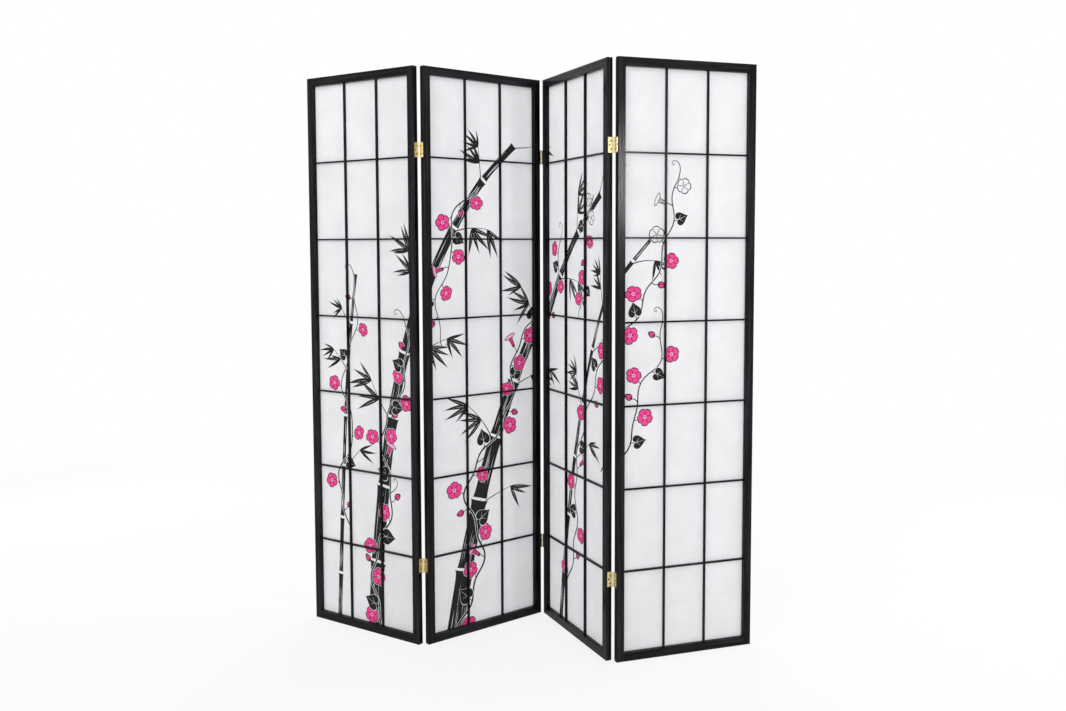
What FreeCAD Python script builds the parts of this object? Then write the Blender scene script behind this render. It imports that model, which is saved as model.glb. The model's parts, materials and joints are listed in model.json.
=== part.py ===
import FreeCAD, Part
import os

# A shoji folding screen: four equal panels in a zigzag, joined by three pairs of butt hinges.
# Lengths are millimetres and angles are degrees.
# Panel frame: X runs across the panel from its left edge, Y from its front face to its back,
# Z up from the floor. The whole screen is then set with the middle of its footprint at the origin.

# Panel frame
panel_count = 4
panel_width = 450.0
panel_height = 1778.0
frame_depth = 19.0
stile_width = 25.0
rail_top_height = 26.0
rail_bottom_height = 26.0
outer_edge_round = 2.5
end_edge_round = 1.2
sight_edge_round = 1.0

# Lattice of slim bars in front of the paper
lattice_columns = 3
lattice_rows = 7
bar_width = 5.0
bar_set_back = 5.0
bar_edge_round = 0.6
bar_tenon = 3.0
bar_play = 0.05

# Paper sheet and the beads that hold it in the rebate at the back
rebate_width = 7.0
paper_thickness = 0.5
paper_margin = 0.6
bead_depth = 5.0
bead_play = 0.2
mitre_play = 0.1

# Dowels between stiles and rails
dowel_radius = 3.0
dowel_in_stile = 14.0
dowel_in_rail = 22.0
dowel_spacing = 12.0
dowel_play = 0.05
dowel_end_room = 1.0

# Butt hinges
hinge_height = 45.0
hinge_from_top = 250.0
hinge_from_bottom = 248.0
panel_gap = 6.5
pin_proud = 2.0
leaf_thickness = 1.2
leaf_margin = 3.0
leaf_corner_round = 1.5
knuckle_count = 5
knuckle_gap = 0.3
knuckle_clearance = 0.35
pin_radius = 1.5
pin_held_clearance = 0.02
pin_running_clearance = 0.06
pin_head_radius = 2.4
pin_head_height = 1.2
pin_head_round = 0.7

# Hinge screws, with a countersunk head and a cross recess
screw_radius = 1.4
screw_head_radius = 2.6
screw_length = 13.0
screw_tip = 2.5
screw_play = 0.05
screw_row_spacing = 24.0
screw_near_barrel = 6.2
screw_far_from_barrel = 11.0
recess_length = 2.6
recess_width = 0.55
recess_depth = 0.8

# Standing pose: heading of the second panel and how far each joint is folded from flat
second_panel_angle = 39.0
fold_angle_1_2 = 72.5
fold_angle_2_3 = 104.5
fold_angle_3_4 = 84.0

# Places that follow from the sizes
paper_back = frame_depth - bead_depth
paper_front = paper_back - paper_thickness
sight_left = stile_width
sight_right = panel_width - stile_width
sight_bottom = rail_bottom_height
sight_top = panel_height - rail_top_height
rebate_left = sight_left - rebate_width
rebate_right = sight_right + rebate_width
rebate_bottom = sight_bottom - rebate_width
rebate_top = sight_top + rebate_width
column_step = (sight_right - sight_left + bar_width) / lattice_columns
row_step = (sight_top - sight_bottom + bar_width) / lattice_rows
bar_middle = (bar_set_back + paper_front) / 2.0
knuckle_radius = panel_gap / 2.0
knuckle_step = hinge_height / knuckle_count
hinge_levels = {"upper": panel_height - hinge_from_top, "lower": hinge_from_bottom}
overshoot = 5.0
pick_tolerance = 0.01

UP = FreeCAD.Vector(0, 0, 1)
RIGHT = FreeCAD.Vector(1, 0, 0)
BACK = FreeCAD.Vector(0, 1, 0)
ORIGIN = FreeCAD.Vector(0, 0, 0)


def block(x0, x1, y0, y1, z0, z1):
    """A box between two limits on each axis."""
    return Part.makeBox(x1 - x0, y1 - y0, z1 - z0, FreeCAD.Vector(x0, y0, z0))


def round_edges(solid, direction, radius, chosen):
    """Round the straight edges along a direction whose middle point passes the test."""
    picked = []
    for edge in solid.Edges:
        run = edge.Vertexes[-1].Point - edge.Vertexes[0].Point
        along = run.Length > 0 and abs(run.dot(direction)) > 0.999 * run.Length
        if along and chosen(edge.CenterOfMass):
            picked.append(edge)
    return solid.makeFillet(radius, picked)


def bar_columns():
    """Left face of each upright bar of the lattice."""
    places = []
    for number in range(1, lattice_columns):
        places.append(sight_left + number * column_step - bar_width)
    return places


def bar_rows():
    """Lower face of each level bar of the lattice."""
    places = []
    for number in range(1, lattice_rows):
        places.append(sight_bottom + number * row_step - bar_width)
    return places


def dowel_levels():
    """Height of each dowel, two in each rail."""
    levels = []
    for middle in (rail_bottom_height / 2.0, panel_height - rail_top_height / 2.0):
        levels.append(middle - dowel_spacing / 2.0)
        levels.append(middle + dowel_spacing / 2.0)
    return levels


def dowel_holes():
    """Round holes that cross the shoulder between each stile and each rail."""
    holes = []
    length = dowel_in_stile + dowel_in_rail + 2.0 * dowel_end_room
    radius = dowel_radius + dowel_play
    for level in dowel_levels():
        left = FreeCAD.Vector(stile_width - dowel_in_stile - dowel_end_room, frame_depth / 2.0, level)
        right_x = panel_width - stile_width - dowel_in_rail - dowel_end_room
        right = FreeCAD.Vector(right_x, frame_depth / 2.0, level)
        holes.append(Part.makeCylinder(radius, length, left, RIGHT))
        holes.append(Part.makeCylinder(radius, length, right, RIGHT))
    return holes


def rebate_block():
    """The space behind the paper's front face, cut from the back of the frame."""
    back = frame_depth + overshoot
    return block(rebate_left, rebate_right, paper_front, back, rebate_bottom, rebate_top)


def lattice_sockets():
    """Shallow sockets that take the ends of the lattice bars."""
    sockets = []
    reach = bar_tenon + bar_play
    front = bar_set_back - bar_play
    for place in bar_columns():
        x0 = place - bar_play
        x1 = place + bar_width + bar_play
        sockets.append(block(x0, x1, front, paper_front, sight_bottom - reach, sight_bottom))
        sockets.append(block(x0, x1, front, paper_front, sight_top, sight_top + reach))
    for place in bar_rows():
        z0 = place - bar_play
        z1 = place + bar_width + bar_play
        sockets.append(block(sight_left - reach, sight_left, front, paper_front, z0, z1))
        sockets.append(block(sight_right, sight_right + reach, front, paper_front, z0, z1))
    return sockets


def stile(outer_x, inner_x, screw_holes):
    """An upright of the frame, running the full height of the panel."""
    solid = block(min(outer_x, inner_x), max(outer_x, inner_x), 0, frame_depth, 0, panel_height)
    solid = round_edges(solid, UP, outer_edge_round, lambda p: abs(p.x - outer_x) < pick_tolerance)
    front_inner = lambda p: abs(p.x - inner_x) < pick_tolerance and p.y < pick_tolerance
    solid = round_edges(solid, UP, sight_edge_round, front_inner)
    ends = lambda p: p.z < pick_tolerance or p.z > panel_height - pick_tolerance
    solid = round_edges(solid, RIGHT, end_edge_round, ends)
    cuts = [rebate_block()] + lattice_sockets() + dowel_holes() + screw_holes
    return solid.cut(Part.makeCompound(cuts))


def rail(outer_z, inner_z):
    """A level piece of the frame, butted between the stiles."""
    low = min(outer_z, inner_z)
    high = max(outer_z, inner_z)
    solid = block(sight_left, sight_right, 0, frame_depth, low, high)
    solid = round_edges(solid, RIGHT, end_edge_round, lambda p: abs(p.z - outer_z) < pick_tolerance)
    front_inner = lambda p: abs(p.z - inner_z) < pick_tolerance and p.y < pick_tolerance
    solid = round_edges(solid, RIGHT, sight_edge_round, front_inner)
    cuts = [rebate_block()] + lattice_sockets() + dowel_holes()
    return solid.cut(Part.makeCompound(cuts))


def lattice_uprights():
    """Upright bars, each halved from behind where a level bar crosses it."""
    bars = []
    for place in bar_columns():
        low = sight_bottom - bar_tenon
        high = sight_top + bar_tenon
        bar = block(place, place + bar_width, bar_set_back, paper_front, low, high)
        bar = round_edges(bar, UP, bar_edge_round, lambda p: p.y < bar_set_back + pick_tolerance)
        for row in bar_rows():
            z0 = row - bar_play
            z1 = row + bar_width + bar_play
            x0 = place - overshoot
            x1 = place + bar_width + overshoot
            bar = bar.cut(block(x0, x1, bar_middle, paper_front + overshoot, z0, z1))
        bars.append(bar)
    return Part.makeCompound(bars)


def lattice_levels():
    """Level bars, each halved from the front where an upright bar crosses it."""
    bars = []
    for place in bar_rows():
        left = sight_left - bar_tenon
        right = sight_right + bar_tenon
        bar = block(left, right, bar_set_back, paper_front, place, place + bar_width)
        bar = round_edges(bar, RIGHT, bar_edge_round, lambda p: p.y < bar_set_back + pick_tolerance)
        for column in bar_columns():
            x0 = column - bar_play
            x1 = column + bar_width + bar_play
            z0 = place - overshoot
            z1 = place + bar_width + overshoot
            bar = bar.cut(block(x0, x1, bar_set_back - overshoot, bar_middle, z0, z1))
        bars.append(bar)
    return Part.makeCompound(bars)


def paper_sheet():
    """The translucent sheet, lying in the rebate against the lattice."""
    left = rebate_left + paper_margin
    right = rebate_right - paper_margin
    low = rebate_bottom + paper_margin
    high = rebate_top - paper_margin
    return block(left, right, paper_front, paper_back, low, high)


def mitred_bead(corners):
    """A bead from its four corners in the panel's plane, from the paper to the frame's back."""
    points = []
    for x, z in corners:
        points.append(FreeCAD.Vector(x, paper_back, z))
    points.append(points[0])
    face = Part.Face(Part.makePolygon(points))
    return face.extrude(BACK * bead_depth)


def retaining_beads():
    """Four mitred beads that close the rebate and hold the paper."""
    x0 = rebate_left + bead_play
    x1 = rebate_right - bead_play
    z0 = rebate_bottom + bead_play
    z1 = rebate_top - bead_play
    u0 = sight_left
    u1 = sight_right
    w0 = sight_bottom
    w1 = sight_top
    z2 = z0 + mitre_play
    z3 = z1 - mitre_play
    w2 = w0 + mitre_play
    w3 = w1 - mitre_play
    left = mitred_bead([(x0, z2), (u0, w2), (u0, w3), (x0, z3)])
    right = mitred_bead([(x1, z2), (u1, w2), (u1, w3), (x1, z3)])
    bottom = mitred_bead([(x0, z0), (x1, z0), (u1, w0), (u0, w0)])
    top = mitred_bead([(x0, z1), (x1, z1), (u1, w1), (u0, w1)])
    return Part.makeCompound([left, right, bottom, top])


def frame_dowels():
    """Dowels that pin the rails to the stiles, two in each joint."""
    dowels = []
    length = dowel_in_stile + dowel_in_rail
    for level in dowel_levels():
        left = FreeCAD.Vector(stile_width - dowel_in_stile, frame_depth / 2.0, level)
        right_x = panel_width - stile_width - dowel_in_rail
        right = FreeCAD.Vector(right_x, frame_depth / 2.0, level)
        dowels.append(Part.makeCylinder(dowel_radius, length, left, RIGHT))
        dowels.append(Part.makeCylinder(dowel_radius, length, right, RIGHT))
    return Part.makeCompound(dowels)


# The hinge frame has the pin's axis on Z at the middle of the hinge's height. The first leaf lies
# at negative X and its plate runs toward negative Y, onto the stile's edge.

def screw_places():
    """Depth and height of each screw in a leaf: two near the barrel and one farther out."""
    half = screw_row_spacing / 2.0
    near = -pin_proud - screw_near_barrel
    far = -pin_proud - screw_far_from_barrel
    return [(near, -half), (far, 0.0), (near, half)]


def screw_body(extra):
    """A countersunk screw along negative X with its head at the leaf's open face."""
    face = -knuckle_radius + leaf_thickness
    radius = screw_radius + extra
    head_radius = screw_head_radius + extra
    head = Part.makeCone(head_radius, radius, leaf_thickness, FreeCAD.Vector(face, 0, 0), -RIGHT)
    shank_end = face - screw_length + screw_tip
    shank_start = FreeCAD.Vector(face - leaf_thickness, 0, 0)
    shank = Part.makeCylinder(radius, face - leaf_thickness - shank_end, shank_start, -RIGHT)
    tip_radius = radius * 0.15
    tip = Part.makeCone(radius, tip_radius, screw_tip, FreeCAD.Vector(shank_end, 0, 0), -RIGHT)
    return head.fuse([shank, tip]).removeSplitter()


def hinge_screw():
    """One screw with a cross recess in its head."""
    face = -knuckle_radius + leaf_thickness
    half_long = recess_length / 2.0
    half_wide = recess_width / 2.0
    level = block(face - recess_depth, face + overshoot, -half_long, half_long, -half_wide, half_wide)
    upright = block(face - recess_depth, face + overshoot, -half_wide, half_wide, -half_long, half_long)
    return screw_body(0.0).cut(level.fuse(upright))


def knuckle_slot(number, radius, trim):
    """The slice of the barrel that one knuckle takes, shortened at its inner ends by a trim."""
    low = -hinge_height / 2.0 + number * knuckle_step
    high = low + knuckle_step
    if number > 0:
        low = low + trim
    if number < knuckle_count - 1:
        high = high - trim
    return Part.makeCylinder(radius, high - low, FreeCAD.Vector(0, 0, low), UP)


def hinge_leaf(first_knuckle, bore_clearance):
    """A plate on the stile's edge with every second knuckle of the barrel."""
    half = hinge_height / 2.0
    plate_end = -(pin_proud + frame_depth - leaf_margin)
    plate = block(-knuckle_radius, -knuckle_radius + leaf_thickness, plate_end, 0, -half, half)
    outer = lambda p: p.y < plate_end + pick_tolerance
    leaf = round_edges(plate, RIGHT, leaf_corner_round, outer)
    for number in range(knuckle_count):
        if number % 2 == first_knuckle:
            leaf = leaf.fuse(knuckle_slot(number, knuckle_radius, knuckle_gap / 2.0))
    for number in range(knuckle_count):
        if number % 2 != first_knuckle:
            room = knuckle_radius + knuckle_clearance
            leaf = leaf.cut(knuckle_slot(number, room, -knuckle_gap / 2.0))
    bore = pin_radius + bore_clearance
    leaf = leaf.cut(Part.makeCylinder(bore, 2.0 * hinge_height, FreeCAD.Vector(0, 0, -hinge_height), UP))
    for y, z in screw_places():
        leaf = leaf.cut(screw_body(screw_play).translated(FreeCAD.Vector(0, y, z)))
    return leaf.removeSplitter()


def hinge_pin():
    """The pin with a rounded head at each end of the barrel."""
    half = hinge_height / 2.0
    shaft = Part.makeCylinder(pin_radius, hinge_height, FreeCAD.Vector(0, 0, -half), UP)
    top = Part.makeCylinder(pin_head_radius, pin_head_height, FreeCAD.Vector(0, 0, half), UP)
    crown = [edge for edge in top.Edges if edge.CenterOfMass.z > half + pin_head_height - pick_tolerance]
    top = top.makeFillet(pin_head_round, crown)
    bottom = top.mirror(ORIGIN, UP)
    return shaft.fuse([top, bottom]).removeSplitter()


def mirrored(shape, direction):
    """A mirror image through the hinge's axis."""
    return shape.mirror(ORIGIN, direction)


def opens_at_back(joint):
    """Odd joints stand out toward the viewer and have their barrels behind the panels."""
    return joint % 2 == 1


def at_joint(shape, joint, side, level):
    """Move a piece from the hinge frame to the panel on one side of a joint."""
    placed = shape if opens_at_back(joint) else mirrored(shape, BACK)
    depth = frame_depth + pin_proud if opens_at_back(joint) else -pin_proud
    x = panel_width + panel_gap / 2.0 if side == "left" else -panel_gap / 2.0
    return placed.translated(FreeCAD.Vector(x, depth, level))


def panel_screws(panel, piece):
    """Copies of a screw shape at every hinge leaf of a panel."""
    copies = []
    for joint, side in ((panel, "left"), (panel - 1, "right")):
        if 1 <= joint < panel_count:
            handed = piece if side == "left" else mirrored(piece, RIGHT)
            for level in hinge_levels.values():
                for y, z in screw_places():
                    spot = handed.translated(FreeCAD.Vector(0, y, z))
                    copies.append(at_joint(spot, joint, side, level))
    return copies


def panel_headings():
    """Heading of each panel's X axis."""
    first = second_panel_angle - fold_angle_1_2
    third = second_panel_angle - fold_angle_2_3
    return [first, second_panel_angle, third, third + fold_angle_3_4]


def pin_in_panel(joint, side):
    """Where a joint's axis lies in the frame of the panel on one side of it."""
    depth = frame_depth + pin_proud if opens_at_back(joint) else -pin_proud
    x = panel_width + panel_gap / 2.0 if side == "left" else -panel_gap / 2.0
    return FreeCAD.Vector(x, depth, 0)


def turned(vector, heading):
    """A vector turned about the upright axis."""
    return FreeCAD.Rotation(UP, heading).multVec(vector)


def panel_corners():
    """Corner of each panel when the joints meet, starting from the first panel."""
    headings = panel_headings()
    corners = [FreeCAD.Vector(0, 0, 0)]
    for joint in range(1, panel_count):
        pin = corners[-1] + turned(pin_in_panel(joint, "left"), headings[joint - 1])
        corners.append(pin - turned(pin_in_panel(joint, "right"), headings[joint]))
    return corners


def panel_pieces(panel):
    """Every piece that belongs to one panel, in the panel's frame."""
    holes = panel_screws(panel, screw_body(screw_play))
    pieces = {}
    pieces["stile_left"] = stile(0, sight_left, holes)
    pieces["stile_right"] = stile(panel_width, sight_right, holes)
    pieces["rail_top"] = rail(panel_height, sight_top)
    pieces["rail_bottom"] = rail(0, sight_bottom)
    pieces["lattice_uprights"] = lattice_uprights()
    pieces["lattice_levels"] = lattice_levels()
    pieces["paper"] = paper_sheet()
    pieces["beads"] = retaining_beads()
    pieces["dowels"] = frame_dowels()
    pieces["hinge_screws"] = Part.makeCompound(panel_screws(panel, hinge_screw()))
    return pieces


def joint_pieces(joint):
    """Leaves and pins of one joint, each with the panel that carries it."""
    pieces = []
    left_leaf = hinge_leaf(0, pin_held_clearance)
    right_leaf = mirrored(hinge_leaf(1, pin_running_clearance), RIGHT)
    for name, level in hinge_levels.items():
        stem = "hinge_%d_%d_%s" % (joint, joint + 1, name)
        pieces.append((stem + "_leaf_left", joint, at_joint(left_leaf, joint, "left", level)))
        pieces.append((stem + "_leaf_right", joint + 1, at_joint(right_leaf, joint, "right", level)))
        pieces.append((stem + "_pin", joint, at_joint(hinge_pin(), joint, "left", level)))
    return pieces


def place(shape, panel):
    """Set a piece from its panel's frame into the standing screen."""
    heading = panel_headings()[panel - 1]
    corner = panel_corners()[panel - 1]
    moved = shape.copy()
    moved.rotate(ORIGIN, UP, heading)
    moved.translate(corner)
    return moved


def build_screen():
    """All nodes in the standing pose, with the middle of the footprint at the origin."""
    nodes = {}
    carriers = {}
    for panel in range(1, panel_count + 1):
        for name, shape in panel_pieces(panel).items():
            node = "panel_%d_%s" % (panel, name)
            nodes[node] = place(shape, panel)
            carriers[node] = panel
    for joint in range(1, panel_count):
        for node, panel, shape in joint_pieces(joint):
            nodes[node] = place(shape, panel)
            carriers[node] = panel
    footprint = FreeCAD.BoundBox()
    for shape in nodes.values():
        footprint.add(shape.optimalBoundingBox(False, False))
    middle = FreeCAD.Vector(footprint.Center.x, footprint.Center.y, 0)
    for shape in nodes.values():
        shape.translate(-middle)
    return nodes, carriers, middle


nodes, carriers, footprint_middle = build_screen()
os.makedirs("parts", exist_ok=True)
for node, shape in nodes.items():
    shape.exportStep("parts/%s.step" % node)
print("%d nodes" % len(nodes))
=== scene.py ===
import json
import math
import random

import bpy
from mathutils import Matrix, Vector
from mathutils.geometry import convex_hull_2d, delaunay_2d_cdt


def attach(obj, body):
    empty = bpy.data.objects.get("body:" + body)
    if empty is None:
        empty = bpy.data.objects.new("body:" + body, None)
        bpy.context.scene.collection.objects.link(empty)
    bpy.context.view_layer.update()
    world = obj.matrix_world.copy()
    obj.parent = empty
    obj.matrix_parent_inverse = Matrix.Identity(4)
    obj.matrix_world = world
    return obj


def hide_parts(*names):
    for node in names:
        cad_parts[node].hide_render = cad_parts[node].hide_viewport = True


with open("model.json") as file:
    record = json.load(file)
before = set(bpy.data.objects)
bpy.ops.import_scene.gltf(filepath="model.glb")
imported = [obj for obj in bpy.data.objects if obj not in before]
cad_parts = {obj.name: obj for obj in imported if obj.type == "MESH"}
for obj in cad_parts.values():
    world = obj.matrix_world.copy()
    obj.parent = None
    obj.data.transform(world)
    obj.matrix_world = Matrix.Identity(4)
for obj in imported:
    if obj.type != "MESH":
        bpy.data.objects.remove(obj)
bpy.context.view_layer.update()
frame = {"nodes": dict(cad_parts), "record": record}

# Sizes of one panel in metres, and the headings of the four panels in the standing pose
MM = 0.001
PANEL_COUNT = 4
PANEL_WIDTH = 450 * MM
PANEL_HEIGHT = 1778 * MM
FRAME_DEPTH = 19 * MM
PANEL_GAP = 6.5 * MM
PIN_PROUD = 2 * MM
BARREL_RADIUS = 3.25 * MM
SHEET_FRONT = 13.5 * MM
SHEET_BACK = 14.0 * MM
SHEET_LEFT = 18.6 * MM
SHEET_BOTTOM = 19.6 * MM
HEADINGS = [-33.5, 39.0, -65.5, 18.5]
JOINTS = frame["record"]["behaviour"]["joints"]


def panel_matrix(number):
    """Takes a point from a panel's own frame (X across, Y back, Z up) to the standing screen."""
    joint_number = min(number, PANEL_COUNT - 1)
    name = "fold_%d_%d" % (joint_number, joint_number + 1)
    joint = next(item for item in JOINTS if item["name"] == name)
    x = PANEL_WIDTH + PANEL_GAP / 2 if number == joint_number else -PANEL_GAP / 2
    y = FRAME_DEPTH + PIN_PROUD if joint_number % 2 == 1 else -PIN_PROUD
    turn = Matrix.Rotation(math.radians(HEADINGS[number - 1]), 4, "Z")
    pin = Vector((joint["pos_m"][0], joint["pos_m"][1], 0.0))
    corner = pin - turn @ Vector((x, y, 0.0))
    return Matrix.Translation(corner) @ turn


def linked_object(name, data):
    """A new object of the scene."""
    item = bpy.data.objects.new(name, data)
    bpy.context.scene.collection.objects.link(item)
    return item


# ---------------------------------------------------------------- materials

class Web:
    """Short ways to add and join the nodes of one material or world."""

    def __init__(self, owner):
        self.nodes = owner.node_tree.nodes
        self.links = owner.node_tree.links

    def feed(self, node, inputs):
        """Give sockets, by name or number, another node's output or a plain value."""
        for socket, value in inputs.items():
            if isinstance(value, bpy.types.NodeSocket):
                self.links.new(value, node.inputs[socket])
            else:
                node.inputs[socket].default_value = value

    def add(self, kind, inputs, **settings):
        """A new node with its settings and sockets filled in."""
        node = self.nodes.new("ShaderNode" + kind)
        for name, value in settings.items():
            setattr(node, name, value)
        self.feed(node, inputs)
        return node

    def place(self, heading=0.0, scale=(1.0, 1.0, 1.0)):
        """Object coordinates turned into a panel's own frame, then stretched."""
        where = self.add("TexCoord", {})
        turn = self.add("VectorRotate", {"Vector": where.outputs["Object"],
                                         "Angle": -math.radians(heading)}, rotation_type="Z_AXIS")
        stretch = self.add("VectorMath", {0: turn.outputs[0], 1: scale}, operation="MULTIPLY")
        return stretch.outputs[0]

    def noise(self, vector, scale, detail=4.0, roughness=0.55, distortion=0.0):
        """Soft noise, mostly between 0.3 and 0.7."""
        node = self.add("TexNoise", {"Vector": vector, "Scale": scale, "Detail": detail,
                                     "Roughness": roughness, "Distortion": distortion})
        return node.outputs["Fac"]

    def spread(self, value, seen, wanted=(0.0, 1.0)):
        """A value stretched from one range to another and held inside it."""
        node = self.add("MapRange", {"Value": value, "From Min": seen[0], "From Max": seen[1],
                                     "To Min": wanted[0], "To Max": wanted[1]})
        return node.outputs[0]

    def math(self, operation, first, second=0.0):
        """A sum with one or two numbers or outputs."""
        return self.add("Math", {0: first, 1: second}, operation=operation).outputs[0]

    def blend(self, factor, first, second):
        """A colour between two colours, each a tuple or another node's output."""
        ends = [end + (1.0,) if isinstance(end, tuple) else end for end in (first, second)]
        node = self.add("Mix", {"Factor": factor}, data_type="RGBA")
        self.feed(node, {6: ends[0], 7: ends[1]})
        return node.outputs[2]

    def bump(self, height, distance, strength, normal=None):
        """A surface raised by a height, over another bump where one is given."""
        node = self.add("Bump", {"Height": height, "Distance": distance, "Strength": strength})
        if normal is not None:
            self.feed(node, {"Normal": normal})
        return node.outputs[0]

    def mix_shaders(self, share, first, second):
        """The first shader with a share of the second one in it."""
        return self.add("MixShader", {0: share, 1: first, 2: second}).outputs[0]


def new_material(name):
    """A node material with a Principled shader: the material, its web, the shader, the output."""
    material = bpy.data.materials.new(name)
    material.use_nodes = True
    material.node_tree.nodes.clear()
    web = Web(material)
    shader = web.add("BsdfPrincipled", {})
    output = web.add("OutputMaterial", {0: shader.outputs[0]})
    return material, web, shader, output


BLACK_LOW = (0.0010, 0.0010, 0.0012)
BLACK_HIGH = (0.0205, 0.0210, 0.0275)
UPRIGHT_GRAIN = (1.0, 1.0, 0.035)
LEVEL_GRAIN = (0.035, 1.0, 1.0)


def painted_wood(name, heading, grain):
    """Satin black paint through which the pores of the wood still show, along the piece."""
    material, web, shader, _ = new_material(name)
    where = web.place(heading, grain)
    broad = web.noise(where, scale=140.0, detail=5.0, roughness=0.6, distortion=0.35)
    pores = web.noise(where, scale=900.0, detail=3.0, roughness=0.65)
    blotches = web.noise(web.place(heading), scale=7.0, detail=3.0)
    lines = web.spread(broad, (0.43, 0.64))
    tone = web.math("MULTIPLY", lines, web.spread(blotches, (0.3, 0.7), (0.55, 1.0)))
    ridges = web.bump(lines, distance=0.0003, strength=0.7)
    web.feed(shader, {
        "Base Color": web.blend(tone, BLACK_LOW, BLACK_HIGH),
        "Roughness": web.spread(pores, (0.3, 0.7), (0.26, 0.42)),
        "Specular IOR Level": 0.02,
        "Coat Weight": 0.24,
        "Coat Roughness": 0.17,
        "Coat Normal": web.bump(lines, distance=0.00015, strength=0.6),
        "Normal": web.bump(pores, distance=0.00009, strength=0.5, normal=ridges),
    })
    return material


DOWEL_DARK = (0.52, 0.34, 0.18)
DOWEL_PALE = (0.70, 0.52, 0.32)


def dowel_wood():
    """Plain light hardwood with growth rings."""
    material, web, shader, _ = new_material("dowel_wood")
    rings = web.noise(web.place(0.0, (0.2, 1.0, 1.0)), scale=220.0)
    web.feed(shader, {"Base Color": web.blend(rings, DOWEL_DARK, DOWEL_PALE), "Roughness": 0.6})
    return material


# The dull and the bright tone of each kind of brass; the screws' two tones are darkened as painted
# shade of their recesses
SCREW_BRASS_PAINTED_SHADE = ((0.035, 0.022, 0.011), (0.13, 0.085, 0.038))
PIN_BRASS = ((0.78, 0.60, 0.28), (0.92, 0.78, 0.46))
LEAF_BRASS = ((0.58, 0.44, 0.20), (0.84, 0.74, 0.48))
# The pale brass of a painted highlight on the hinge barrels, how far past the barrel's radius it
# reaches, and its greatest share
BARREL_HIGHLIGHT_BRASS = (0.90, 0.84, 0.66)
HIGHLIGHT_REACH = 1.15
HIGHLIGHT_SHARE = 0.8


def painted_highlight_share(web, axis):
    """How much painted highlight shows: most on the barrel round a pin's axis, none beside it."""
    flat = web.place(0.0, (1.0, 1.0, 0.0))
    apart = web.add("VectorMath", {0: flat, 1: (axis[0], axis[1], 0.0)}, operation="DISTANCE")
    barrel = (BARREL_RADIUS, BARREL_RADIUS * HIGHLIGHT_REACH)
    highlight_falloff = web.spread(apart.outputs["Value"], barrel, (1.0, 0.0))
    return web.math("MULTIPLY", highlight_falloff, HIGHLIGHT_SHARE)


def brass(name, tones, axis=None):
    """Brass with faint drawing lines, dull patches and scratches, and a painted highlight: pale
    brass on the barrel round an axis.
    """
    material, web, shader, _ = new_material(name)
    patches = web.noise(web.place(), scale=210.0, roughness=0.6, distortion=0.5)
    lines = web.noise(web.place(0.0, (1.0, 1.0, 0.02)), scale=5200.0, detail=2.0)
    scratches = web.noise(web.place(25.0, (1.0, 0.08, 1.0)), scale=1500.0, detail=2.0)
    colour = web.blend(web.spread(patches, (0.38, 0.62)), tones[0], tones[1])
    if axis is not None:
        # Painted highlight: the barrel round the pin's axis turned pale
        colour = web.blend(painted_highlight_share(web, axis), colour, BARREL_HIGHLIGHT_BRASS)
    height = web.math("ADD", web.math("MULTIPLY", lines, 0.6), web.math("MULTIPLY", scratches, 0.4))
    web.feed(shader, {
        "Base Color": colour,
        "Roughness": web.spread(patches, (0.3, 0.7), (0.36, 0.20)),
        "Metallic": 1.0,
        "Normal": web.bump(height, distance=0.00002, strength=0.4),
    })
    return material


# Scale of the noise, and stretch of the sheet up and down, for each layer of fibres
FIBRE_LAYERS = ((46.0, 1.0), (95.0, 0.45), (210.0, 1.0))
FIBRE_WIDTH = 0.016
MOTTLE = 0.955


def washi_fibres(web, heading):
    """Long fibres at three scales: one on a fibre, zero between them."""
    masks = []
    for scale, stretch in FIBRE_LAYERS:
        where = web.place(heading, (1.0, 1.0, stretch))
        field = web.noise(where, scale, detail=3.0, roughness=0.5, distortion=2.2)
        ridge = web.math("ABSOLUTE", web.math("SUBTRACT", field, 0.5))
        masks.append(web.spread(ridge, (0.0, FIBRE_WIDTH), (1.0, 0.0)))
    return web.math("MAXIMUM", masks[0], web.math("MAXIMUM", masks[1], masks[2]))


def paper_face(name, heading, ground, fibre, share):
    """Matt washi: a web of long pale fibres over the ground colour, letting some light through."""
    material, web, shader, output = new_material(name)
    fibres = washi_fibres(web, heading)
    where = web.place(heading)
    cloud = web.noise(where, scale=14.0, detail=5.0, roughness=0.6)
    pulp = web.noise(where, scale=1300.0, detail=2.0)
    mottled = tuple(channel * MOTTLE for channel in ground)
    base = web.blend(web.spread(cloud, (0.3, 0.7)), mottled, ground)
    weight = web.math("MULTIPLY", fibres, web.spread(cloud, (0.35, 0.7), (0.25, 1.0)))
    colour = web.blend(weight, base, fibre)
    grain = web.math("ADD", web.math("MULTIPLY", fibres, 0.5), web.math("MULTIPLY", pulp, 0.5))
    web.feed(shader, {
        "Base Color": colour,
        "Roughness": 0.85,
        "Specular IOR Level": 0.25,
        "Normal": web.bump(grain, distance=0.00006, strength=0.5),
    })
    through = web.add("BsdfTranslucent", {"Color": colour})
    web.feed(output, {0: web.mix_shaders(share, shader.outputs[0], through.outputs[0])})
    return material


# ---------------------------------------------------------------- the printed design
# The design is laid out in millimetres on the four sheets side by side: U runs to the right from
# the first panel's left edge and V up from the floor. Shapes are painted in order, later on top.

WHITE, BLACK, PINK, ROSE, BLUSH = range(5)
PANEL_STEP = 450.0

# Widths of lines, gaps and rims, the share by which vines are drawn wider than listed, and the
# least area that is painted. Where there are two widths, a stroke runs from the first to the second
THINNEST = 0.12
INK_MARGIN = 1.7
OUTLINE = 2.9
STALK = 2.8
STALK_END = STALK * 0.8
TWIG = (3.6, 1.4)
TENDRIL = (2.2, 0.9)
RING = (2.4, 3.2)
RING_GAP = 9.0
VINE_WEIGHT = 1.35
SMALLEST_AREA = 0.02

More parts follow.
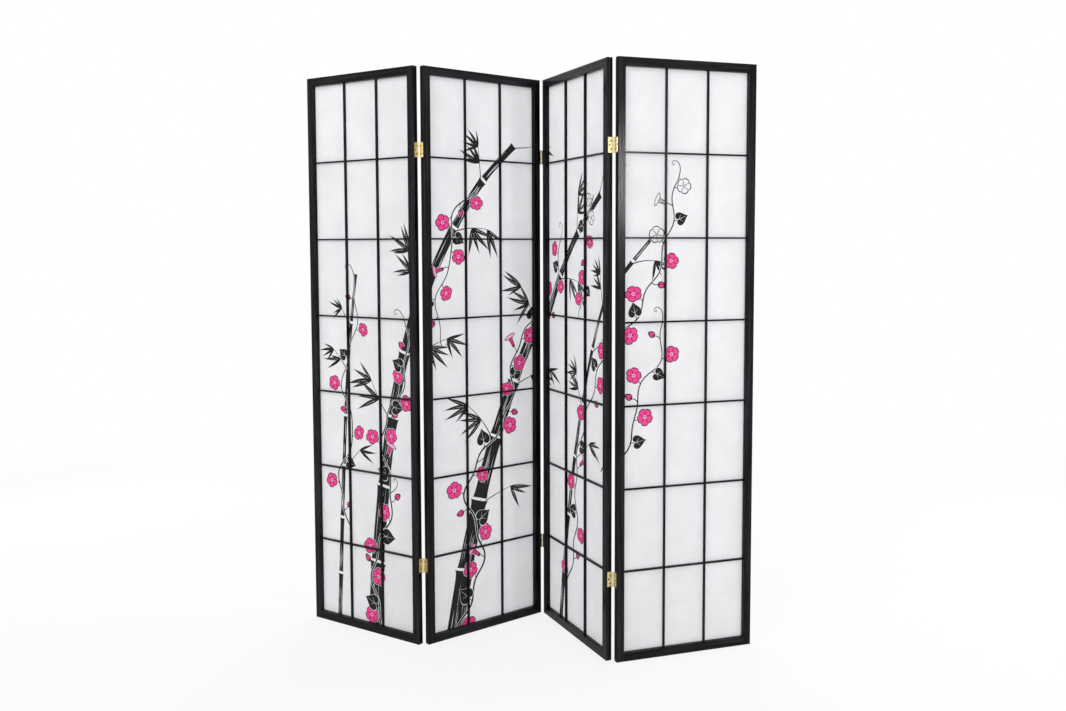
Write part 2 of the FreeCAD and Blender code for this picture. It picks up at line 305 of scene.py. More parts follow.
# Strokes and leaves: unevenness of an edge, angle between leaves, width as a share of the length,
# pieces of a leaf or curl, and the shortest leaf that has a vein
BRUSH_WAVER = 0.10
LEAF_FAN = 0.42
LEAF_WIDTH = 0.135
LEAF_STEPS = 11
HEART_STEPS = 34
CURL_STEPS = 34
LEAST_VEINED_LEAF = 75

# Stems: pieces between two points and of one dark length, the share of a length that may be left
# over at the top, and shares of a length's step or of the stem's width. RING_SAG is in millimetres
CULM_STEPS = 24
LENGTH_STEPS = 18
LAST_LENGTH = 0.6
LENGTH_TAPER = 0.25
LENGTH_SPREAD = (0.92, 1.08)
LENGTH_SWELL = 0.16
STREAK_REACH = 0.40
RING_REACH = 0.62
RING_SAG = 2.0
TWIG_FOOT = 0.4
STREAK_WIDTHS = (0.8, 2.0)

# Vines and flowers: pieces of a curve, length of one sway, and shares of a flower's size
VINE_STEPS = 22
SWAY_LENGTH = 150.0
BLOOM_STEPS = 50
BLOOM_NOTCH = 0.17
BLUSH_NOTCH = 0.18
BLUSH_SIZE = 0.27
EYE_SIZE = 0.10
SIDE_NOTCH = 0.03
RAY_PLACES = (0.16, 0.4, 0.65, 0.97)
SIDE_PLACES = (0.0, 0.18, 0.36, 0.54, 0.7, 0.82, 0.9)

chance = random.Random(41)
painting = []


def paint(colour, polygons):
    """Put shapes of one colour on top of the design."""
    painting.append((colour, polygons))


def curve_through(points, steps=8):
    """Points of a smooth curve through the given ones."""
    full = [points[0]] + list(points) + [points[-1]]
    path = []
    for i in range(1, len(full) - 2):
        a, b, c, d = (Vector(full[i + k]) for k in (-1, 0, 1, 2))
        for s in range(steps):
            t = s / steps
            first = (c - a) * t
            second = (2 * a - 5 * b + 4 * c - d) * t * t
            third = (3 * b - a - 3 * c + d) * t ** 3
            path.append(b + 0.5 * (first + second + third))
    path.append(Vector(full[-2]))
    return path


def heading_at(path, i):
    """Unit direction of a path at a point."""
    run = path[min(i + 1, len(path) - 1)] - path[max(i - 1, 0)]
    return run.normalized() if run.length > 0 else Vector((0.0, 1.0))


def left_of(run):
    """The direction a quarter turn to the left."""
    return Vector((-run.y, run.x))


def ribbon(path, width_at, shift=0.0):
    """Four-sided faces along a path, with the width given by a rule of the share run."""
    left, right = [], []
    last = len(path) - 1
    for i, point in enumerate(path):
        side = left_of(heading_at(path, i))
        half = max(width_at(i / last), THINNEST) / 2
        left.append(point + side * (shift + half))
        right.append(point + side * (shift - half))
    return [[right[i], right[i + 1], left[i + 1], left[i]] for i in range(last)]


def area_of(polygon):
    """The area inside a polygon, negative where it runs clockwise."""
    return sum(a.x * b.y - b.x * a.y for a, b in zip(polygon, polygon[1:] + polygon[:1])) / 2


def wound(polygon):
    """The polygon running counter-clockwise, or nothing where it has next to no area."""
    if len(polygon) == 4:
        polygon = [polygon[i] for i in convex_hull_2d(polygon)]
    area = area_of(polygon)
    if abs(area) < SMALLEST_AREA:
        return []
    return polygon if area > 0 else polygon[::-1]


def brush(points, start, end):
    """A brush stroke that tapers from one width to another with a slightly uneven edge."""
    path = curve_through(points)
    sway = [1 + chance.uniform(-BRUSH_WAVER, BRUSH_WAVER) for _ in path]
    last = len(path) - 1
    paint(BLACK, ribbon(path, lambda t: (start + (end - start) * t) * sway[round(t * last)]))


def along(point, angle, length):
    """The place at a distance from a point, in the direction of an angle."""
    return point + Vector((math.cos(angle), math.sin(angle))) * length


def vein(start, end, steps, width, tip):
    """A straight pale line in a leaf, tapering to its tip's width."""
    path = curve_through([start, end], steps)
    paint(WHITE, ribbon(path, lambda t: width * (1 - t) + tip))


def bamboo_leaf(base, angle, length, width, bend):
    """A long pointed leaf on a short stalk, bending as it goes."""
    path = [base]
    for i in range(LEAF_STEPS):
        path.append(along(path[-1], angle + bend * i / LEAF_STEPS, length / LEAF_STEPS))

    def width_at(t):
        return width * math.sin(math.pi * min(1.0, t * 1.02 + 0.02) ** 0.72)

    paint(BLACK, ribbon(path, width_at))
    if length > LEAST_VEINED_LEAF:
        paint(WHITE, ribbon(path[2:-3], lambda t: 0.9 * (1 - t) + 0.1, width * 0.06))


def leaf_spray(point, angle, count, length):
    """A fan of leaves that hangs from the end of a twig."""
    for i in range(count):
        from_middle = i - (count - 1) / 2
        spread = from_middle * LEAF_FAN + chance.uniform(-0.12, 0.12)
        size = length * chance.uniform(0.72, 1.08) * (1 - 0.12 * abs(from_middle))
        bamboo_leaf(point, angle + spread, size, size * LEAF_WIDTH, chance.uniform(-0.25, 0.35))


def twig(point, angle, length, sprays, leaf_length):
    """A thin side branch with sprays of leaves along it."""
    bend = chance.uniform(-0.35, 0.35)
    joints = [point]
    for i in range(4):
        joints.append(along(joints[-1], angle + bend * i / 3, length / 4))
    brush(joints, *TWIG)
    places = joints[-1:] + joints[2:4][:max(0, sprays - 1)]
    for place in places:
        droop = angle + bend - 0.9 * math.copysign(1, math.cos(angle))
        leaf_spray(place, droop, chance.choice((3, 4, 5)), leaf_length)


def stretch_of(path, start, end):
    """Evenly spaced points of a path between two distances along it."""
    wanted = [start + (end - start) * i / LENGTH_STEPS for i in range(LENGTH_STEPS + 1)]
    piece = []
    run = 0.0
    for a, b in zip(path, path[1:]):
        length = (b - a).length
        while len(piece) < len(wanted) and wanted[len(piece)] <= run + length + 1e-6:
            piece.append(a.lerp(b, (wanted[len(piece)] - run) / length))
        run += length
    return piece


def culm_length(piece, width):
    """One dark length of a stem, wider at its ends, with dry streaks left by the brush."""
    paint(BLACK, ribbon(piece, lambda t: width * (1.0 + LENGTH_SWELL * abs(2 * t - 1) ** 6)))
    for _ in range(2 + round(width / 14)):
        a = chance.randint(0, len(piece) // 2)
        b = min(len(piece), a + chance.randint(len(piece) // 4, len(piece) // 2) + 2)
        offset = width * chance.uniform(-STREAK_REACH, STREAK_REACH)
        streak = chance.uniform(*STREAK_WIDTHS)
        if b - a > 3:
            paint(WHITE, ribbon(piece[a:b], lambda t: streak * math.sin(math.pi * t), offset))


def culm(points, foot, top, node_step, side_twigs):
    """A bamboo stem: dark lengths parted by pale rings, with twigs at the rings listed."""
    path = curve_through(points, CULM_STEPS)
    total = sum((b - a).length for a, b in zip(path, path[1:]))
    node = 0.0
    number = 0
    while node < total - node_step * LAST_LENGTH:
        step = node_step * (1.0 - LENGTH_TAPER * node / total) * chance.uniform(*LENGTH_SPREAD)
        piece = stretch_of(path, node + RING_GAP / 2, min(total, node + step - RING_GAP / 2))
        share = node / total
        width = foot + (top - foot) * share
        culm_length(piece, width)
        run = heading_at(piece, len(piece) - 1)
        tip = piece[-1]
        side = left_of(run)
        if node + step < total:
            reach = side * width * RING_REACH
            brush([tip - reach, tip - run * RING_SAG, tip + reach], *RING)
        number += 1
        if number in side_twigs:
            lean, length, sprays, leaf_length = side_twigs[number]
            start = tip + side * (width * TWIG_FOOT if lean > 0 else -width * TWIG_FOOT)
            twig(start, math.atan2(run.y, run.x) + lean, length, sprays, leaf_length)
        node += step


def bloom_point(centre, radius, turn, squash, angle):
    """A point of the flower's face, at a distance from its centre and an angle."""
    x = radius * math.cos(angle)
    y = radius * math.sin(angle) * squash
    return centre + Vector((x * math.cos(turn) - y * math.sin(turn),
                            x * math.sin(turn) + y * math.cos(turn)))


def bloom_outline(centre, radius, turn, squash, notch):
    """The rim of an open trumpet flower: round, with five shallow notches, seen at a slant."""
    points = []
    for i in range(BLOOM_STEPS):
        t = 2 * math.pi * i / BLOOM_STEPS
        r = radius * (1 - notch * (1 - abs(math.sin(2.5 * t))) ** 2 + 0.012 * math.cos(11 * t + 1))
        points.append(bloom_point(centre, r, turn, squash, t))
    return points


def outlined(outer, inner, width_at, fill):
    """A filled form with a black outline and a white rim round it."""
    paint(WHITE, ribbon(outer, lambda t: width_at(t) + 2 * (OUTLINE + INK_MARGIN)))
    paint(BLACK, ribbon(outer, lambda t: width_at(t) + 2 * OUTLINE))
    paint(fill, ribbon(inner, width_at))


def cup(base, angle, lean, length, width):
    """Three small dark leaves that hold a flower."""
    for turn in (-lean, 0.0, lean):
        bamboo_leaf(along(base, angle, -2.0), angle + turn, length, width, 0.0)


def trumpet(centre, radius, fill):
    """An open trumpet flower from the front, with a five-rayed star and a small eye."""
    turn = chance.uniform(0, 2 * math.pi)
    squash = chance.uniform(0.78, 1.0)
    star = ROSE if fill == PINK else BLACK
    wide = radius * (0.20 if fill == PINK else 0.05)
    line = radius + OUTLINE
    for ink, rim in ((WHITE, line + INK_MARGIN), (BLACK, line), (fill, radius)):
        paint(ink, [bloom_outline(centre, rim, turn, squash, BLOOM_NOTCH)])
    for k in range(5):
        angle = 2 * math.pi * k / 5
        ray = [bloom_point(centre, radius * place, turn, squash, angle) for place in RAY_PLACES]
        paint(star, ribbon(ray, lambda t: wide * (1 - t) + 1.2))
    if fill == PINK:
        paint(BLUSH, [bloom_outline(centre, radius * BLUSH_SIZE, turn, squash, BLUSH_NOTCH)])
    paint(BLACK, [bloom_outline(centre, radius * EYE_SIZE, turn, squash, 0.0)])


def side_trumpet(base, angle, size, fill):
    """A trumpet flower from the side, flaring from its dark cup to its rim."""
    lip, line = (BLUSH, ROSE) if fill == PINK else (WHITE, BLACK)
    path = [along(base, angle, size * place) for place in SIDE_PLACES]
    outer = [along(base, angle, -1.5)] + path[1:] + [along(base, angle, size * 0.93)]
    outlined(outer, path, lambda t: size * (0.13 + 0.16 * t + 0.72 * t ** 4), fill)
    rim = along(base, angle, size * 0.90)
    across = angle + math.pi / 2
    paint(BLACK, [bloom_outline(rim, size * 0.50 + OUTLINE, across, 0.32, SIDE_NOTCH)])
    paint(lip, [bloom_outline(rim, size * 0.50, across, 0.27, SIDE_NOTCH)])
    for lean in (-0.20, 0.0, 0.20):
        start = along(base, angle + lean * 0.4, size * 0.25)
        end = along(base, angle + lean, size * 0.80)
        paint(line, ribbon(curve_through([start, end], 3), lambda t: 0.8 + 0.9 * t))
    cup(base, angle, 0.55, size * 0.26, size * 0.09)


def bud(base, angle, size):
    """A closed flower, pointed and held in a dark cup."""
    path = [along(base, angle, size * s / 8) for s in range(9)]

    def width_at(t):
        return size * 0.62 * math.sin(math.pi * min(1.0, 0.10 + 0.90 * t) ** 0.85)

    outlined(path, path[:-1], width_at, PINK)
    paint(ROSE, ribbon(path[2:-1], lambda t: size * 0.10 * (1 - t) + 0.5, size * 0.06))
    cup(base, angle, 0.6, size * 0.42, size * 0.13)


def heart_outline(base, angle, size, margin):
    """The rim of a heart-shaped leaf, widened all round by a margin."""
    points = []
    grown = size + 2 * margin
    for i in range(HEART_STEPS):
        t = 2 * math.pi * i / HEART_STEPS
        x = 0.95 * math.sin(t) ** 3
        y = (13 * math.cos(t) - 5 * math.cos(2 * t) - 2 * math.cos(3 * t) - math.cos(4 * t)) / 17
        ahead = (0.55 - y) * grown * 0.62 - margin
        aside = x * grown * 0.52
        points.append(along(along(base, angle, ahead), angle + math.pi / 2, aside))
    return points


def heart_leaf(base, angle, size):
    """A dark heart-shaped leaf with pale veins."""
    paint(WHITE, [heart_outline(base, angle, size, INK_MARGIN)])
    paint(BLACK, [heart_outline(base, angle, size, 0.0)])
    vein(base, along(base, angle, size * 0.78), 5, 1.3, 0.3)
    for lean in (-0.6, 0.6):
        vein(along(base, angle, size * 0.16), along(base, angle + lean, size * 0.50), 4, 0.9, 0.2)


def tendril(base, angle, size):
    """A thin curling shoot."""
    wide, tip = TENDRIL
    path = [base]
    for i in range(CURL_STEPS):
        share = i / CURL_STEPS
        turn = angle + 0.4 * share + 9.5 * share ** 2.2
        path.append(along(path[-1], turn, size * (1.15 - share) / 11))
    paint(BLACK, ribbon(path, lambda t: wide * (1 - t) + tip))


def grow(kind, start, angle, size):
    """A tendril, leaf, bud or flower at a place on a vine."""
    if kind == "curl":
        tendril(start, angle, size)
        return
    if kind == "leaf":
        foot = along(start, angle, size * 0.3)
        brush([start, foot], STALK, STALK_END)
        heart_leaf(foot, angle, size)
        return
    stalk = along(start, angle, size * 0.9)
    brush([start, along(start, angle - 0.25, size * 0.5), stalk], STALK, STALK_END)
    if kind == "bud":
        bud(stalk, angle, size)
    elif kind in ("open", "pale"):
        trumpet(along(stalk, angle, size * 0.6), size, PINK if kind == "open" else WHITE)
    else:
        side_trumpet(stalk, angle, size * 1.5, PINK if kind == "side" else WHITE)


def vine(points, width, sway, growth):
    """A thin climbing stem that sways as it goes, with what grows on it."""
    width = width * VINE_WEIGHT
    rough = curve_through(points, VINE_STEPS)
    path = []
    run = 0.0
    for i, point in enumerate(rough):
        if i:
            run += (point - rough[i - 1]).length
        side = left_of(heading_at(rough, i))
        path.append(point + side * sway * math.sin(2 * math.pi * run / SWAY_LENGTH))
    paint(WHITE, ribbon(path, lambda t: width * (1.0 - 0.55 * t) + 2 * INK_MARGIN))
    paint(BLACK, ribbon(path, lambda t: width * (1.0 - 0.45 * t)))
    last = len(path) - 1
    for share, kind, lean, size in growth:
        i = round(share * last)
        ahead = heading_at(path, i)
        grow(kind, path[i], math.atan2(ahead.y, ahead.x) + lean, size)


# Bamboo stems, first the two thin ones behind: points of the way up, width at the foot and at the
# top, distance between rings, and by the number of the ring its twig's lean from the stem, length,
# sprays of leaves and length of a leaf
STEMS = (
    ([(96, -20), (120, 420), (150, 840), (196, 1180)], 17, 10, 190, {
        3: (-0.8, 90, 1, 86), 5: (0.7, 84, 2, 78), 6: (0.9, 60, 1, 70)
    }),
    ([(1004, -20), (1058, 330), (1150, 700), (1290, 1040), (1488, 1286)], 24, 9, 205, {
        3: (-0.75, 110, 1, 92), 4: (0.8, 100, 2, 88), 5: (-0.7, 90, 2, 84), 6: (0.85, 90, 2, 80),
        7: (-0.6, 70, 1, 76)
    }),
    ([(250, -20), (284, 360), (352, 760), (470, 1120), (640, 1400), (800, 1560)], 54, 18, 250, {
        3: (0.85, 130, 2, 112), 4: (-0.85, 140, 2, 112), 5: (0.8, 130, 2, 108),
        6: (-0.8, 120, 2, 104), 7: (0.8, 100, 2, 96), 8: (-0.7, 80, 1, 88)
    }),
    ([(550, -20), (622, 300), (730, 640), (884, 960), (1084, 1230), (1300, 1400)], 62, 15, 232, {
        2: (-0.9, 110, 1, 104), 3: (0.9, 140, 2, 108), 4: (-0.8, 120, 2, 104),
        5: (0.85, 130, 2, 104), 6: (-0.85, 120, 2, 98), 7: (0.8, 110, 2, 96), 8: (0.5, 70, 1, 84)
    }),
)

# Flowering vines: points of the way, width, sway to the sides, and what grows on each: share of
# the way, kind, lean from the stem and size. The kinds "open" and "side" are pink flowers from the
# front and the side, "pale" and "palside" the same in white, and "curl" is a curling shoot
VINES = (
    ([(300, -10), (248, 200), (334, 430), (292, 640), (388, 820), (402, 1010)], 4.4, 9.0, [
        (0.06, "open", 1.1, 25), (0.10, "leaf", 1.1, 54), (0.16, "open", -1.2, 26),
        (0.21, "bud", 1.2, 26), (0.25, "open", 1.2, 25), (0.30, "leaf", -1.1, 52),
        (0.35, "open", 1.2, 25), (0.40, "bud", -1.1, 26), (0.43, "curl", -1.0, 46),
        (0.47, "leaf", 1.1, 48), (0.52, "side", -1.1, 27), (0.57, "open", 1.1, 25),
        (0.61, "open", -1.2, 23), (0.66, "bud", -1.0, 26), (0.70, "leaf", -1.1, 46),
        (0.75, "open", -1.2, 24), (0.80, "open", 1.1, 22), (0.84, "leaf", 1.0, 44),
        (0.88, "bud", 1.1, 24), (0.93, "open", -0.9, 22), (0.99, "curl", 0.2, 44)
    ]),
    ([(150, 330), (104, 480), (172, 640), (126, 800), (190, 990), (176, 1150)], 3.4, 6.0, [
        (0.08, "bud", -1.1, 24), (0.18, "open", 1.1, 23), (0.28, "leaf", -1.1, 42),
        (0.38, "open", -1.1, 22), (0.48, "bud", 1.1, 24), (0.58, "open", 1.1, 22),
        (0.68, "leaf", 1.1, 40), (0.78, "open", -1.1, 20), (0.88, "bud", 1.0, 22),
        (0.99, "curl", 0.2, 40)
    ]),
    ([(560, -10), (668, 240), (606, 470), (772, 700), (806, 900), (960, 1080), (1010, 1260)],
     4.8, 9.0, [
        (0.04, "open", -1.2, 26), (0.08, "leaf", 1.1, 56), (0.12, "open", 1.1, 25),
        (0.16, "side", 1.1, 28), (0.20, "open", -1.1, 26), (0.24, "leaf", -1.1, 54),
        (0.28, "bud", 1.1, 27), (0.32, "open", 1.2, 27), (0.36, "open", -1.1, 24),
        (0.39, "curl", -0.9, 52), (0.42, "leaf", 1.2, 52), (0.46, "open", -1.1, 26),
        (0.50, "bud", -1.2, 26), (0.54, "open", 1.1, 25), (0.58, "leaf", -1.0, 48),
        (0.62, "open", -1.1, 24), (0.66, "side", 1.1, 27), (0.70, "open", -1.0, 25),
        (0.74, "leaf", 1.0, 46), (0.78, "bud", -1.1, 26), (0.82, "open", 1.1, 24),
        (0.86, "open", -1.1, 22), (0.90, "leaf", 1.1, 42), (0.94, "open", 1.0, 22),
        (0.99, "curl", 0.1, 48)
    ]),
    ([(1052, 120), (1120, 330), (1126, 560), (1228, 780), (1300, 900), (1420, 1040), (1510, 1240),
     (1546, 1440)], 4.2, 9.0, [
        (0.04, "open", 1.1, 24), (0.09, "bud", -1.0, 26), (0.14, "open", -1.1, 24),
        (0.18, "leaf", 1.1, 48), (0.23, "open", 1.1, 24), (0.27, "side", -1.1, 26),
        (0.32, "leaf", -1.1, 46), (0.37, "open", 1.1, 24), (0.42, "bud", -1.1, 25),
        (0.46, "open", -1.1, 24), (0.51, "leaf", 1.1, 44), (0.56, "open", 1.0, 23),
        (0.61, "bud", 1.1, 24), (0.65, "open", -1.0, 25), (0.70, "leaf", 1.0, 44),
        (0.74, "open", 1.1, 25), (0.78, "bud", -1.0, 25), (0.82, "open", -1.1, 22),
        (0.86, "pale", 1.0, 23), (0.90, "leaf", -1.0, 40), (0.93, "palside", 1.0, 24),
        (0.97, "pale", -1.0, 21), (0.995, "curl", 0.2, 46)
    ]),
    ([(1240, 1390), (1180, 1290), (1196, 1150), (1150, 1050)], 3.2, 5.0, [
        (0.06, "pale", -1.1, 19), (0.15, "pale", 1.0, 20), (0.30, "leaf", -1.0, 40),
        (0.42, "open", 1.1, 22), (0.54, "bud", -1.1, 23), (0.66, "open", -1.1, 21),
        (0.78, "leaf", 1.1, 36), (0.88, "open", -1.0, 21), (0.99, "curl", 0.0, 36)
    ]),
    ([(660, 1424), (560, 1330), (556, 1200), (500, 1080), (512, 960)], 3.4, 5.0, [
        (0.06, "open", 1.0, 23), (0.16, "bud", 1.0, 24), (0.26, "open", -1.0, 24),
        (0.36, "leaf", 1.0, 42), (0.46, "open", 1.1, 22), (0.56, "side", -1.1, 24),
        (0.66, "open", 1.1, 22), (0.76, "leaf", -1.1, 38), (0.86, "bud", -1.1, 23),
        (0.99, "curl", 0.0, 38)
    ]),
    ([(1290, 560), (1400, 660), (1420, 800), (1490, 900), (1500, 1010)], 3.6, 7.0, [
        (0.10, "open", 1.1, 23), (0.24, "leaf", -1.1, 42), (0.36, "open", -1.1, 24),
        (0.46, "bud", 1.1, 25), (0.56, "open", 1.1, 23), (0.66, "leaf", -1.0, 40),
        (0.76, "open", -1.0, 23), (0.88, "bud", 1.0, 23), (0.99, "curl", 0.2, 44)
    ]),
)


def paint_design():
    """Bamboo rising from the lower left, with flowering vines through it."""
    for stem in STEMS:
        culm(*stem)
    for climber in VINES:
        vine(*climber)


# ---------------------------------------------------------------- the printed sheets

THROUGH_SHARE = 0.50

# Name, ground colour, colour of the fibres and share of light let through, in the order of the
# numbers WHITE to BLUSH: the bare paper and four inks
INKS = (
    ("paper", (0.875, 0.875, 0.887), (0.945, 0.945, 0.95), THROUGH_SHARE),
    ("ink", (0.0125, 0.0125, 0.0135), (0.030, 0.030, 0.031), 0.02),
    ("pink", (0.86, 0.065, 0.30), (0.93, 0.13, 0.39), 0.10),
    ("rose", (0.46, 0.018, 0.115), (0.56, 0.03, 0.16), 0.05),
    ("blush", (0.93, 0.46, 0.66), (0.95, 0.56, 0.73), 0.2),
)
BACK_GROUND = 0.42
BACK_FIBRE = 0.30

# The sheet's reach in millimetres on its own panel, and how the shapes on it are cut
SHEET_U = (SHEET_LEFT / MM, (PANEL_WIDTH - SHEET_LEFT) / MM)
SHEET_V = (SHEET_BOTTOM / MM, (PANEL_HEIGHT - SHEET_BOTTOM) / MM)
CUT_INSIDE = 1
WELD = 1e-4
LEAK_RATIO = 1.3
LEAK_SLACK = 2.0


def soaked(colour, share):
    """An ink's colour where only part of it shows through the sheet."""
    return tuple(paper + (ink - paper) * share for ink, paper in zip(colour, INKS[0][1]))


def sheet_materials(number):
    """Materials for one sheet: paper and inks on the front, and the same soaked through behind."""
    heading = HEADINGS[number - 1]
    fronts = []
    backs = []
    for name, ground, fibre, share in INKS:
        front = "%s_front_%d" % (name, number)
        back = "%s_back_%d" % (name, number)
        behind = (soaked(ground, BACK_GROUND), soaked(fibre, BACK_FIBRE))
        fronts.append(paper_face(front, heading, ground, fibre, share))
        backs.append(paper_face(back, heading, behind[0], behind[1], THROUGH_SHARE))
    return fronts + backs


def shapes_on_sheet(number):
    """Colour and outline of each shape that reaches one sheet, with the bare sheet first."""
    (left, right), (low, high) = SHEET_U, SHEET_V
    corners = ((left, low), (right, low), (right, high), (left, high))
    shapes = [(WHITE, [Vector(corner) for corner in corners])]
    offset = Vector(((number - 1) * PANEL_STEP, 0.0))
    for colour, polygons in painting:
        for polygon in polygons:
            local = [p - offset for p in wound(polygon)]
            if local and max(p.x for p in local) >= left and min(p.x for p in local) <= right:
                shapes.append((colour, local))
    return shapes


def sound_shapes(shapes, corners, triangles, sources):
    """Whether each shape fills about the area that it was drawn with, and hasn't leaked."""
    filled = [0.0] * len(shapes)
    for triangle, source in zip(triangles, sources):
        for shape in source:
            filled[shape] += area_of([corners[v] for v in triangle])
    drawn = [area_of(outline) for _, outline in shapes]
    return [area <= LEAK_RATIO * own + LEAK_SLACK for area, own in zip(filled, drawn)]


def cut_sheet(shapes):
    """A flat sheet parted along its shapes: corners, triangles and each triangle's colour."""
    points = []
    faces = []
    for _, outline in shapes:
        faces.append(list(range(len(points), len(points) + len(outline))))
        points.extend(outline)
    cut = delaunay_2d_cdt(points, [], faces, CUT_INSIDE, WELD, True)
    corners, _, triangles, _, _, sources = cut
    sound = sound_shapes(shapes, corners, triangles, sources)
    kept = []
    tints = []
    for triangle, source in zip(triangles, sources):
        if 0 in source:
            top = max(shape for shape in source if sound[shape])
            kept.append(tuple(triangle))
            tints.append(shapes[top][0])
    return corners, kept, tints


def closed_sheet(corners, triangles, tints, matrix):
    """Vertices, faces and material numbers of the thin closed sheet made from a flat one."""
    used = sorted({v for triangle in triangles for v in triangle})
    index = {v: i for i, v in enumerate(used)}
    count = len(used)
    verts = [matrix @ Vector((corners[v].x * MM, depth, corners[v].y * MM))
             for depth in (SHEET_FRONT, SHEET_BACK) for v in used]
    faces = []
    face_tints = []
    edges = {}
    for triangle, tint in zip(triangles, tints):
        a, b, c = (index[v] for v in triangle)
        faces += [(a, b, c), (c + count, b + count, a + count)]
        face_tints += [tint, tint + len(INKS)]
        edges.update(dict.fromkeys(((a, b), (b, c), (c, a))))
    for start, end in edges:
        if (end, start) not in edges:
            faces.append((end, start, start + count, end + count))
            face_tints.append(WHITE)
    return verts, faces, face_tints


def printed_sheet(number):
    """One closed paper sheet whose faces are parted along the outlines of the print."""
    corners, triangles, tints = cut_sheet(shapes_on_sheet(number))
    verts, faces, face_tints = closed_sheet(corners, triangles, tints, panel_matrix(number))
    mesh = bpy.data.meshes.new("panel_%d_printed_sheet" % number)
    mesh.from_pydata(verts, [], faces)
    for material in sheet_materials(number):
        mesh.materials.append(material)
    mesh.polygons.foreach_set("material_index", face_tints)
    mesh.validate()
    mesh.update()
    return linked_object(mesh.name, mesh)


# ---------------------------------------------------------------- dressing the pieces

def dress_node(node, material):
    """Give a carried-over piece its finished material."""
    for place in frame["nodes"][node].material_slots:
        place.link = "OBJECT"
        place.material = material


def dress_panel(number, dowels, screws):
    """Paint, paper and print of one panel."""
    heading = HEADINGS[number - 1]
    upright = painted_wood("black_upright_%d" % number, heading, UPRIGHT_GRAIN)
    level = painted_wood("black_level_%d" % number, heading, LEVEL_GRAIN)
    stem = "panel_%d_" % number
    for part in ("stile_left", "stile_right", "lattice_uprights", "beads"):
        dress_node(stem + part, upright)
    for part in ("rail_top", "rail_bottom", "lattice_levels"):
        dress_node(stem + part, level)
    dress_node(stem + "dowels", dowels)
    dress_node(stem + "hinge_screws", screws)
    sheet = printed_sheet(number)
    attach(sheet, "panel_%d" % number)
    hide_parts(stem + "paper")


def dress_hinges(joint, pins):
    """Brass for the hinges of one joint, with a painted highlight on the barrel of the leaves."""
    stem = joint["name"].replace("fold", "hinge")
    # The leaves' brass carries a painted highlight on the barrel round the joint's pin
    leaves = brass(stem + "_brass", LEAF_BRASS, joint["pos_m"])
    for node in frame["nodes"]:
        if node.startswith(stem):
            dress_node(node, pins if node.endswith("_pin") else leaves)


def dress_screen():
    """Every piece of the screen in its finished look."""
    dowels = dowel_wood()
    # The screws' brass is darkened all over as painted shade of their recesses
    screws = brass("screw_brass", SCREW_BRASS_PAINTED_SHADE)
    pins = brass("pin_brass", PIN_BRASS)
    paint_design()
    for number in range(1, PANEL_COUNT + 1):
        dress_panel(number, dowels, screws)
    for joint in JOINTS:
        dress_hinges(joint, pins)


# ---------------------------------------------------------------- floor, light and camera

FLOOR_HALF = 40.0
FLOOR_COLOUR = (0.74, 0.74, 0.74, 1.0)
NEAR_FLOOR = 1.4
FAR_FLOOR = 4.5
FLOOR_WHITE = 0.80
PURE_WHITE = (1.0, 1.0, 1.0, 1.0)
WORLD_LIGHT = 0.69

# Name, place, place aimed at, width and height in metres, and power in watts
LAMPS = (
    ("key", (-1.9, -3.0, 3.6), (0.1, 0.0, 1.5), (2.2, 2.2), 66.0),
    ("strip", (2.15, -2.50, 1.62), (0.3, -0.2, 1.4), (0.19, 0.46), 20.5),
    ("side", (3.5, 0.8, 1.5), (0.1, 0.0, 0.9), (1.8, 2.2), 52.0),
    ("back", (0.1, 3.2, 3.0), (0.0, 0.0, 1.3), (2.2, 2.2), 55.0),
    ("back_left", (-2.6, 1.9, 1.35), (-0.15, 0.05, 0.9), (1.6, 1.75), 20.0),
)

IMAGE_WIDTH = 1066.0
IMAGE_HEIGHT = 711.0
SENSOR = 36.0
CAMERA_PLACE = (0.0613, -3.1702, 1.2329)
CAMERA_PITCH = 3.938
CAMERA_ROLL = -0.139
FOCAL_PIXELS = 1018.64
CENTRE_X = 543.45
CENTRE_Y = 317.57


def seen_directly(web):
    """One for what the camera sees, also in a mirror or through glass, and zero for light."""
    path = web.add("LightPath", {})
    mirrored = web.math("MAXIMUM", path.outputs["Is Camera Ray"], path.outputs["Is Glossy Ray"])
    return web.math("MAXIMUM", mirrored, path.outputs["Is Transmission Ray"])


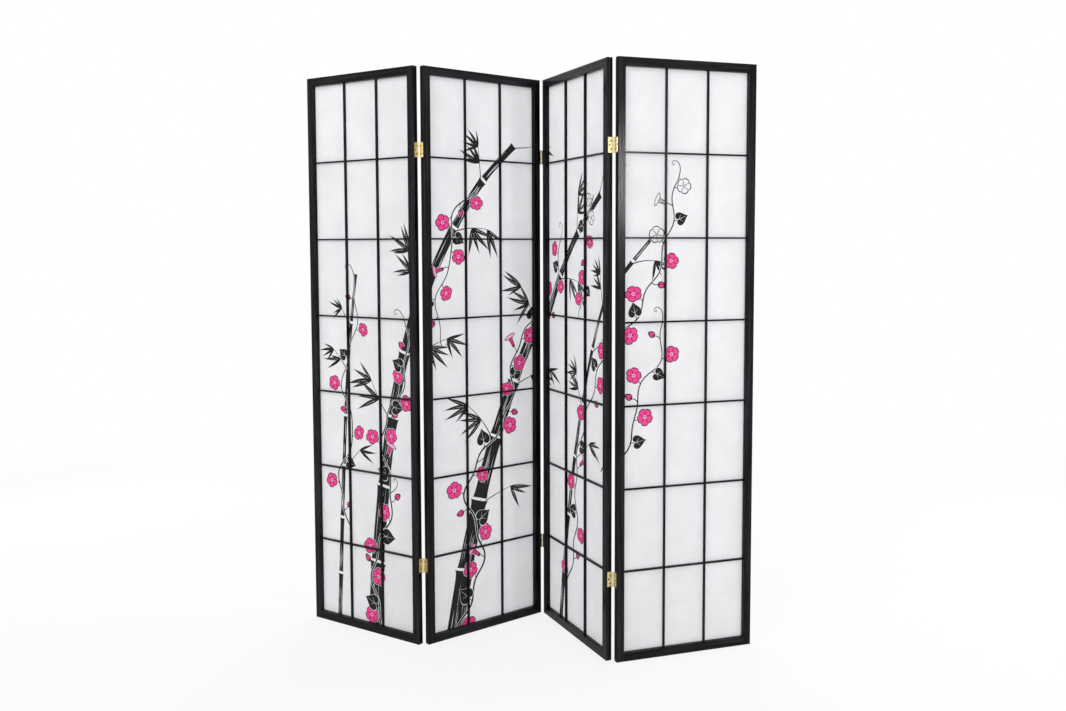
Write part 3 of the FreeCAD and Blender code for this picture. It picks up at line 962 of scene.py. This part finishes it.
def make_floor():
    """A plain pale floor that keeps a soft trace of the screen's shadow."""
    half = FLOOR_HALF
    mesh = bpy.data.meshes.new("floor")
    corners = [(-half, -half, 0.0), (half, -half, 0.0), (half, half, 0.0), (-half, half, 0.0)]
    mesh.from_pydata(corners, [], [(0, 1, 2, 3)])
    material, web, shader, output = new_material("floor")
    web.feed(shader, {"Base Color": FLOOR_COLOUR, "Roughness": 0.9, "Specular IOR Level": 0.1})
    distance = web.add("VectorMath", {0: web.place()}, operation="LENGTH")
    white = web.spread(distance.outputs["Value"], (NEAR_FLOOR, FAR_FLOOR), (FLOOR_WHITE, 1.0))
    glow = web.add("Emission", {"Strength": 1.0})
    share = web.math("MULTIPLY", white, seen_directly(web))
    web.feed(output, {0: web.mix_shaders(share, shader.outputs[0], glow.outputs[0])})
    mesh.materials.append(material)
    linked_object("floor", mesh)


def make_world():
    """White for the camera and reflections, a plain even light for everything else."""
    world = bpy.data.worlds.new("studio")
    bpy.context.scene.world = world
    world.use_nodes = True
    world.node_tree.nodes.clear()
    web = Web(world)
    light = web.add("Background", {"Color": PURE_WHITE, "Strength": WORLD_LIGHT})
    white = web.add("Background", {"Color": PURE_WHITE, "Strength": 1.0})
    both = web.mix_shaders(seen_directly(web), light.outputs[0], white.outputs[0])
    web.add("OutputWorld", {0: both})


def make_lamp(name, place, aim, size, power):
    """A large soft lamp pointed at a place."""
    data = bpy.data.lights.new(name, "AREA")
    data.shape = "RECTANGLE"
    data.size, data.size_y = size
    data.energy = power
    lamp = linked_object(name, data)
    lamp.location = place
    lamp.rotation_euler = (Vector(aim) - Vector(place)).to_track_quat("-Z", "Y").to_euler()


def make_camera():
    """A camera at the photograph's place, with its small shift."""
    data = bpy.data.cameras.new("camera")
    data.sensor_width = SENSOR
    data.lens = FOCAL_PIXELS * SENSOR / IMAGE_WIDTH
    data.shift_x = (IMAGE_WIDTH / 2 - CENTRE_X) / IMAGE_WIDTH
    data.shift_y = (CENTRE_Y - IMAGE_HEIGHT / 2) / IMAGE_WIDTH
    camera = linked_object("camera", data)
    tilt = Matrix.Rotation(math.radians(90.0 - CAMERA_PITCH), 4, "X")
    roll = Matrix.Rotation(math.radians(CAMERA_ROLL), 4, "Z")
    camera.matrix_world = Matrix.Translation(CAMERA_PLACE) @ tilt @ roll
    bpy.context.scene.camera = camera


dress_screen()
make_floor()
make_world()
for lamp in LAMPS:
    make_lamp(*lamp)
make_camera()
bpy.context.scene.view_settings.view_transform = "Standard"
